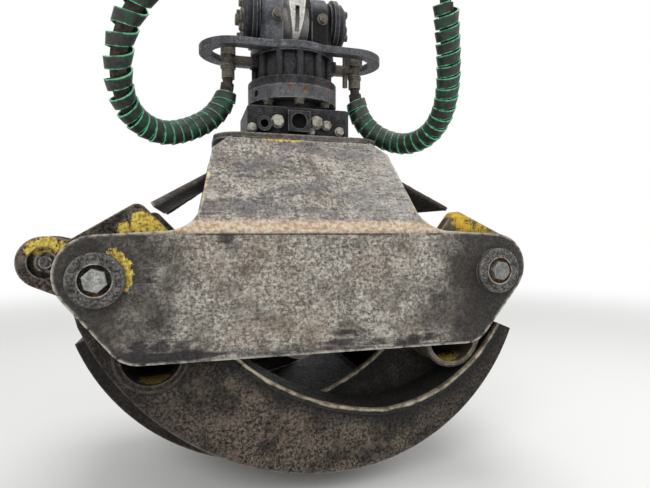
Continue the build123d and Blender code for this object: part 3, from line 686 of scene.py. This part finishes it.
# Yellow enamel left on the neck's slanted edges, beside the left washer and in a row along the top edge.
neck_paint = (((-207, -172, -528), 4, 18), ((-212, -186, -548), 4, 20), ((-217, -203, -573), 3, 16),
              ((222, -214, -589), 3, 18))
washer_paint = on_face(plate_face, (
    (-366, -674, 5, 15), (-354, -684, 7, 17), (-346, -696, 8, 18), (-342, -710, 7, 17), (-342, -724, 6, 15),
    (-345, -736, 3, 12),
))
top_paint = [((-82 + 12 * i, -108, -440), inner, inner + 7) for i, inner in enumerate((3, 5, 5, 6, 5, 5, 4))]
colour = old_paint(tree, colour, place, (*neck_paint, *washer_paint, *top_paint))

# Bend line: the outer skin stretched and scaled off along the fold, so a rust-cream band shows there,
# with a dark line of painted shade in the crease under its middle stretch.
outside = add(tree, "MapRange", {0: apart(tree, y), 1: 0.2, 2: 0.21})
band = times(tree, fade(tree, apart(tree, z, fold_height + 8), 16, 7), outside)
cream = over(tree, "#b08c66", patches(tree, place, 9, 0.38, 0.62, shift=4), "#dfd2bb")
colour = over(tree, colour, band, cream, 0.8)
crease_shade = times(tree, fade(tree, apart(tree, z, fold_height - 6), 2.2, 1), outside)
colour = over(tree, colour, times(tree, crease_shade, fade(tree, sideways, 235, 205)), "#2b2118", 0.8)

# Dirt and painted shade in corners and gaps.
colour = over(tree, colour, dirt_and_shade_corners(tree, 30), "#262321", 0.8)
colour = over(tree, colour, rubbed(tree, place, 7), "#cfc8bb", 0.9)
rough = add(tree, "MapRange", {0: speckle, 3: 0.85, 4: 0.6})
relief = add(tree, "Math", {0: speckle, 1: patches(tree, place, 40, 0.3, 0.7)}, operation="ADD")
wear_plate = finish_material(material, tree, colour, rough, 0.25, relief, 0.6, 3)
dress(wear_plate, "frame_front_plate", "frame_rear_plate")

# Top plate and roof braces: flat wear-steel plates, cut and welded in between the two frame plates. They
# close the frame above the jaws.
# The same steel where no log rubs it: dark brown with oil and bark dust, and darker still as painted
# shade between the frame plates.
shaded_plate = grimy_steel(
    "wear_steel_plate_grimy", ("#6f6963", "#4c4845", "#302d2b", "#9d968b", "#171514"), blotch=80, grain=5,
    metallic=0.2, edge_width=5)
dress(shaded_plate, "frame_top_plate", "frame_roof_braces")

# Weld beads: mild steel run in ripples by electric arc along the seams of the frame and the jaws. The
# points are the frame's seam ends at its right rear corner.
top_seam = (150, 106, -440)
brace_seam_foot = (296, 204, -591)
brace_seam_head = (160, 134, -500)

# Weld metal: the same dark brown as the plates it joins, with a little more glint on its ripples.
weld_steel = grimy_steel(
    "mild_steel_weld_bead", ("#4e4843", "#37322e", "#221f1d", "#6b635a", "#100f0e"), blotch=20, grain=3,
    metallic=0.2, edge_width=1.5, dirt_and_shade_reach=20)


def weld_bead(name, body, thickness, ring=None, seam=None):
    """Rounded weld bead, a ring (centre, radius) round Y or a straight seam (start, end), in millimetres."""
    if ring:
        centre, radius = ring
        bpy.ops.mesh.primitive_torus_add(location=[c / 1000 for c in centre], rotation=(math.pi / 2, 0, 0),
                                         major_radius=radius / 1000, minor_radius=thickness / 2000,
                                         major_segments=160, minor_segments=10)
    else:
        start, end = (Vector(point) / 1000 for point in seam)
        bpy.ops.mesh.primitive_cylinder_add(vertices=16, radius=thickness / 2000, depth=(end - start).length)
        bpy.context.object.data.transform(Matrix.Translation((start + end) / 2)
                                          @ (end - start).to_track_quat("Z", "Y").to_matrix().to_4x4())
    bead = bpy.context.object
    bead.name = name
    bpy.ops.object.transform_apply(location=True, rotation=True, scale=True)
    if seam:
        even = bead.modifiers.new("even", "REMESH")
        even.mode = "VOXEL"
        even.voxel_size = 0.0016
        bpy.ops.object.modifier_apply(modifier="even")
    ripple = bpy.data.textures.new("weld_ripple", "CLOUDS")
    ripple.noise_scale = 0.006
    uneven = bead.modifiers.new("ripple", "DISPLACE")
    uneven.texture = ripple
    uneven.texture_coords = "GLOBAL"
    uneven.strength = 0.3 * thickness / 1000
    bpy.ops.object.modifier_apply(modifier="ripple")
    bpy.data.textures.remove(ripple)
    bpy.ops.object.shade_smooth()
    bpy.ops.object.select_all(action="DESELECT")
    bead.data.materials.append(weld_steel)
    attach(bead, body)


def mirrored(point, end, side):
    """A point given for the right rear corner, moved to another corner of the frame."""
    return end * point[0], side * point[1], point[2]


for side, face, row in ((-1, "front", "a"), (1, "rear", "b")):
    weld_bead(f"top_plate_weld_{face}", "grapple_frame", 7,
              seam=(mirrored(top_seam, -1, side), mirrored(top_seam, 1, side)))
    for end, column in ((-1, "a"), (1, "b")):
        weld_bead(f"brace_weld_{row}_{column}", "grapple_frame", 9,
                  seam=(mirrored(brace_seam_foot, end, side), mirrored(brace_seam_head, end, side)))

# Jaw pins: turned and hardened steel bars through both frame plates and the jaws' hubs, each closed by an
# end washer and a hexagon bolt at both ends. The cylinder's pins are the same steel.
pin_side = 390
# Depths of the marks on the front washers and bolts.
rust_depth = -250
bolt_depth = -260


def rusted_washers(tree, colour, place):
    """A ring of rust round the right bolt and a spot under the left one."""
    spots = on_face(rust_depth, ((pin_side, pin_height, 27, 34), (-pin_side, pin_height - 22, 3, 14)))
    return old_paint(tree, colour, place, spots, *rust_tones)


def dulled_bolt(tree, colour, place):
    """The right bolt's plating, gone a darker grey than the left one's."""
    on_right = beside(tree, place, (pin_side, bolt_depth, pin_height), 26, 34)
    return over(tree, colour, on_right, "#4b4e50", 0.55)


# Turned steel: mottled black and grey, with a fine bright line on each edge.
turned_steel = grimy_steel(
    "turned_steel_weathered", ("#807d79", "#1f1d1b", "#0f0d0b", "#c2beb6", "#0c0a08"), blotch=26, grain=3,
    metallic=0.35, roughness=(0.35, 0.6), edge_width=4, dirt_and_shade_reach=12, sheen=0.3, under_edges=rusted_washers)
dress(turned_steel, "jaw_pin_left", "jaw_pin_right", "jaw_pin_washers", "outer_cylinder_pin",
      "outer_ring_pin", "inner_pin_ends")
# Zinc-flake coating: an even silver-grey, duller than polished zinc.
bolt_steel = grimy_steel(
    "zinc_flake_steel_bolt", ("#c6c6c3", "#949491", "#605f5b", "#e2e1dc", "#2c1e14"), blotch=14, grain=2.5,
    metallic=0.35, roughness=(0.35, 0.6), edge_width=2, dirt_and_shade_reach=6, under_edges=dulled_bolt)
dress(bolt_steel, "jaw_pin_bolts")

# Outer jaw: two box claws bent and welded from wear steel and joined by a hub tube on the left pin. They
# are dark with bark and oil, with bright edges where they close on the logs, worn pale and painted as a
# highlight.
claw_half_width = 222
ear_depth = -217
pocket_side = 305
pocket_height = -865
pocket_weld_depth = 217
pocket_weld_radius = 64
bite_top = -800


def beyond_arc(tree, place, centre, radius):
    """Distance outward from a circle round Y, in metres; its centre (x, z) and radius are in millimetres."""
    flat = add(tree, "VectorMath", {0: place, 1: (1, 0, 1)}, operation="MULTIPLY")
    middle = (centre[0] / 1000, 0, centre[1] / 1000)
    reach = add(tree, "VectorMath", {0: flat, 1: middle}, out="Value", operation="DISTANCE")
    return add(tree, "Math", {0: reach, 1: radius / 1000}, operation="SUBTRACT")


def worn_bite(tree, colour, place, first, second, meet, half_width):
    """Bite of a claw: its edge a cream line, worn pale and painted as the lip's highlight, the plate below
    it darkened to near black as painted shade under the lip, its flanks dark.

    The bite's two arcs, each (centre, radius), meet at x; half_width is the claw's reach to each side.
    """
    x, y, z = (add(tree, "SeparateXYZ", {0: place}, out=axis) for axis in "XYZ")
    past = add(tree, "Math", {0: x, 1: meet / 1000}, operation="GREATER_THAN")
    from_first = beyond_arc(tree, place, *first)
    from_second = beyond_arc(tree, place, *second)
    reach = add(tree, "Mix", {0: past, 2: from_first, 3: from_second})
    below = add(tree, "Math", {0: z, 1: bite_top / 1000}, operation="LESS_THAN")
    flank = fade(tree, apart(tree, x), 120, 360)
    colour = over(tree, colour, times(tree, flank, below), "#191614", 0.65)
    # Painted shade: the plate just below the bite's lip darkened to near black.
    colour = over(tree, colour, times(tree, fade(tree, reach, 52, 12), below), "#191a1b", 0.85)
    side = apart(tree, y)
    outside = add(tree, "MapRange", {0: side, 1: (half_width - 12) / 1000, 2: (half_width - 5) / 1000})
    ragged = add(tree, "Math", {0: reach, 1: straying(tree, place, 45.5, 0.0022, detail=3)}, operation="ADD")
    # Painted highlight: the cream line along the bite's lip, which is also worn pale.
    line = add(tree, "MapRange", {0: ragged, 1: 0.0066, 2: 0.0036})
    line = times(tree, times(tree, line, outside), below)
    tone = over(tree, "#6a6052", patches(tree, place, 26, 0.36, 0.6), "#c0b39c")
    return over(tree, colour, line, tone)


def outer_bite(tree, colour, place):
    """Bite of the outer claws: a wide arc, then a tighter one up to the tips on the right."""
    return worn_bite(tree, colour, place, ((179, -513), 491), ((133, -683), 320), 138, claw_half_width)


def outer_paint(tree, colour, place):
    """Yellow enamel left on the ears above the pin, and inside the claws below the pocket."""
    ears = on_face(ear_depth, (
        (-471, -660, 12, 30), (-490, -668, 8, 26), (-450, -664, 4, 18), (-318, -624, 16, 30),
        (-346, -634, 8, 20), (-292, -634, 12, 26),
    ))
    others = (((-303, -180, -912), 18, 42), ((-303, 180, -912), 18, 42), ((-312, 222, -622), 10, 24))
    return old_paint(tree, colour, place, (*ears, *others))


# Oily wear steel: near black with a fine pale grain, and a cream line along the bite, worn pale and
# painted as a highlight.
claw_steel = grimy_steel(
    "wear_steel_claw_oily", ("#7a6e62", "#1e1916", "#0f0d0c", "#8c8275", "#0c0a09"), blotch=60, grain=4.5,
    metallic=0.2, roughness=(0.45, 0.8), edge_width=4, marks=0.8, sheen=0.25, under_edges=outer_paint,
    bite=outer_bite)
dress(claw_steel, "outer_claw_front", "outer_claw_rear", "outer_hub_tube")
for side, face in ((-1, "front"), (1, "rear")):
    weld_bead(f"outer_pocket_weld_{face}", "outer_jaw", 7,
              ring=((-pocket_side, side * pocket_weld_depth, pocket_height), pocket_weld_radius))

# Inner jaw: one box claw that closes between the outer two, welded to a hub tube on the right pin. Its
# cheeks, and the tie bar that couples it to the outer jaw, keep more of their yellow enamel.
inner_half_width = 131
inner_weld_depth = 214
inner_weld_radius = 62

# Worn enamel: warm yellow with brown flecks, gone to bare brown steel in patches and from the pin down.
material, tree, place = start_material("yellow_enamel_worn")
flecks = patches(tree, place, 5, 0.34, 0.66)
colour = over(tree, "#bb9522", flecks, "#e3bd2c")
height = add(tree, "SeparateXYZ", {0: place}, out="Z")
low = fade(tree, height, pin_height + 60, pin_height + 20)
bare = add(tree, "Math", {0: patches(tree, place, 34, 0.48, 0.58), 1: low}, operation="MAXIMUM")
colour = over(tree, colour, bare, "#3f3a35", 0.95)
colour = mottled(tree, colour, place, ((7, 0.55, 0.62, 3, "#3a2f22", 0.8),))
colour = old_paint(tree, colour, place, [((303, side * 180, -905), 20, 46) for side in (-1, 1)])
# Dirt and painted shade in corners and gaps.
colour = over(tree, colour, dirt_and_shade_corners(tree, 30), "#1f1c19", 0.85)
colour = over(tree, colour, rubbed(tree, place, 6), "#8f8578", 0.9)
worn_yellow = finish_material(material, tree, colour, 0.6, 0.1, flecks, 0.4)
dress(worn_yellow, "inner_cheek_front", "inner_cheek_rear", "tie_bar")


def inner_bite(tree, colour, place):
    """Bite of the inner claw: a tighter arc from the tip on the left, then a wide one."""
    return worn_bite(tree, colour, place, ((-103, -656), 359), ((-116, -572), 443), -138, inner_half_width)


# Wear steel black with oil: more even than the outer claws, with the same cream line along its bite,
# worn pale and painted as a highlight.
inner_claw_steel = grimy_steel(
    "wear_steel_claw_black_with_oil", ("#4c4641", "#2b2724", "#171514", "#8c8274", "#0c0b0a"), blotch=60,
    grain=4.5, metallic=0.2, roughness=(0.45, 0.8), edge_width=4, marks=0.8, sheen=0.25, bite=inner_bite)
dress(inner_claw_steel, "inner_claw", "inner_hub_tube", "inner_hub_ends")
for side, face in ((-1, "front"), (1, "rear")):
    weld_bead(f"inner_pocket_weld_{face}", "inner_jaw", 7,
              ring=((pocket_side, side * inner_weld_depth, pocket_height), inner_weld_radius))

# Cylinder: a drawn steel barrel on its pin in the outer jaw's pocket and a rod that pushes the inner
# jaw's, so both jaws open together.
# Black enamel on the barrel: dull, and greyed by dust.
barrel_paint = grimy_steel(
    "cylinder_enamel_black", ("#4a4948", "#333231", "#1f1e1e", "#7f7b75", "#151413"), blotch=60, grain=4,
    metallic=0.0)
dress(barrel_paint, "cylinder_barrel")
# Hard chrome plate on the rod: smooth, mirror-bright and nearly free of marks.
chrome = grimy_steel(
    "hard_chrome_plate", ("#c9cacb", "#b4b5b6", "#8d8d8d", "#dededd", "#3a3836"), blotch=60, grain=2,
    metallic=1.0, roughness=(0.15, 0.3), edge_width=2, marks=0.1, depth=0.05)
dress(chrome, "cylinder_rod")

# Studio: a pale floor well below the closed claws that fades into the white surround for the camera, and
# three broad soft lamps.
floor_height = -1.175
floor_size = 30
fade_start = 1.5
fade_end = 4.5
surround_light = 0.65
lamp_aim = Vector((0, 0, -0.6))
bpy.ops.mesh.primitive_plane_add(size=floor_size, location=(0, 0, floor_height))
floor = bpy.context.object
floor.name = "studio_floor"


def backdrop_rays(tree):
    """Mask of the rays that see the background: from the camera, mirrored, or through glass."""
    seen = 0.0
    for name in ("Is Camera Ray", "Is Glossy Ray", "Is Transmission Ray"):
        seen = add(tree, "Math", {0: seen, 1: add(tree, "LightPath", {}, out=name)}, operation="MAXIMUM")
    return seen


# Matt white paper; far from the object it is seen as bright as the surround.
material, tree, place = start_material("studio_paper")
paper = add(tree, "BsdfDiffuse", {"Color": rgb("#e6e6e4")})
bright = add(tree, "Emission", {})
away = add(tree, "VectorMath", {0: place}, out="Value", operation="LENGTH")
faded = add(tree, "MapRange", {0: away, 1: fade_start, 2: fade_end}, interpolation_type="SMOOTHERSTEP")
seen = times(tree, faded, backdrop_rays(tree))
blend = add(tree, "MixShader", {0: seen, 1: paper, 2: bright})
add(tree, "OutputMaterial", {"Surface": blend})
floor.data.materials.append(material)
bpy.ops.object.select_all(action="DESELECT")

# The surround is white to the camera and lights the object a little less strongly.
world = bpy.data.worlds.new("studio_surround")
bpy.context.scene.world = world
world.use_nodes = True
world.node_tree.nodes.clear()
tree = world.node_tree
strength = add(tree, "MapRange", {0: backdrop_rays(tree), 3: surround_light, 4: 1.0})
surround = add(tree, "Background", {"Color": (1, 1, 1, 1), "Strength": strength})
add(tree, "OutputWorld", {"Surface": surround})

for name, stand, size, power in (
    ("lamp_front_left", (-1.6, -2.4, 0.9), 1.6, 34),
    ("lamp_right", (2.2, -1.2, 0.6), 1.4, 18),
    ("lamp_above", (0.2, 0.2, 2.2), 2.0, 40),
):
    light = bpy.data.lights.new(name, "AREA")
    light.shape = "DISK"
    light.size = size
    light.energy = power
    lamp = bpy.data.objects.new(name, light)
    lamp.location = stand
    lamp.rotation_euler = (lamp_aim - Vector(stand)).to_track_quat("-Z", "Y").to_euler()
    bpy.context.scene.collection.objects.link(lamp)

# Camera: level with the jaw pins, a little to the left and close by, turned to the right and dipped a
# little, with a moderately wide lens. The view transform is Standard, so colours come out as they are set.
camera_place = (-0.233, -1.133, -0.637)
camera_turn = math.radians(15.5)
camera_dip = 0.027
sensor_width = 36
focal_length = 26.6
camera = bpy.data.objects.new("camera", bpy.data.cameras.new("camera"))
camera.data.sensor_width = sensor_width
camera.data.lens = focal_length
camera.location = camera_place
looking = Vector((math.sin(camera_turn), math.cos(camera_turn), -camera_dip))
camera.rotation_euler = looking.to_track_quat("-Z", "Y").to_euler()
bpy.context.scene.collection.objects.link(camera)
bpy.context.scene.camera = camera
bpy.context.scene.view_settings.view_transform = "Standard"
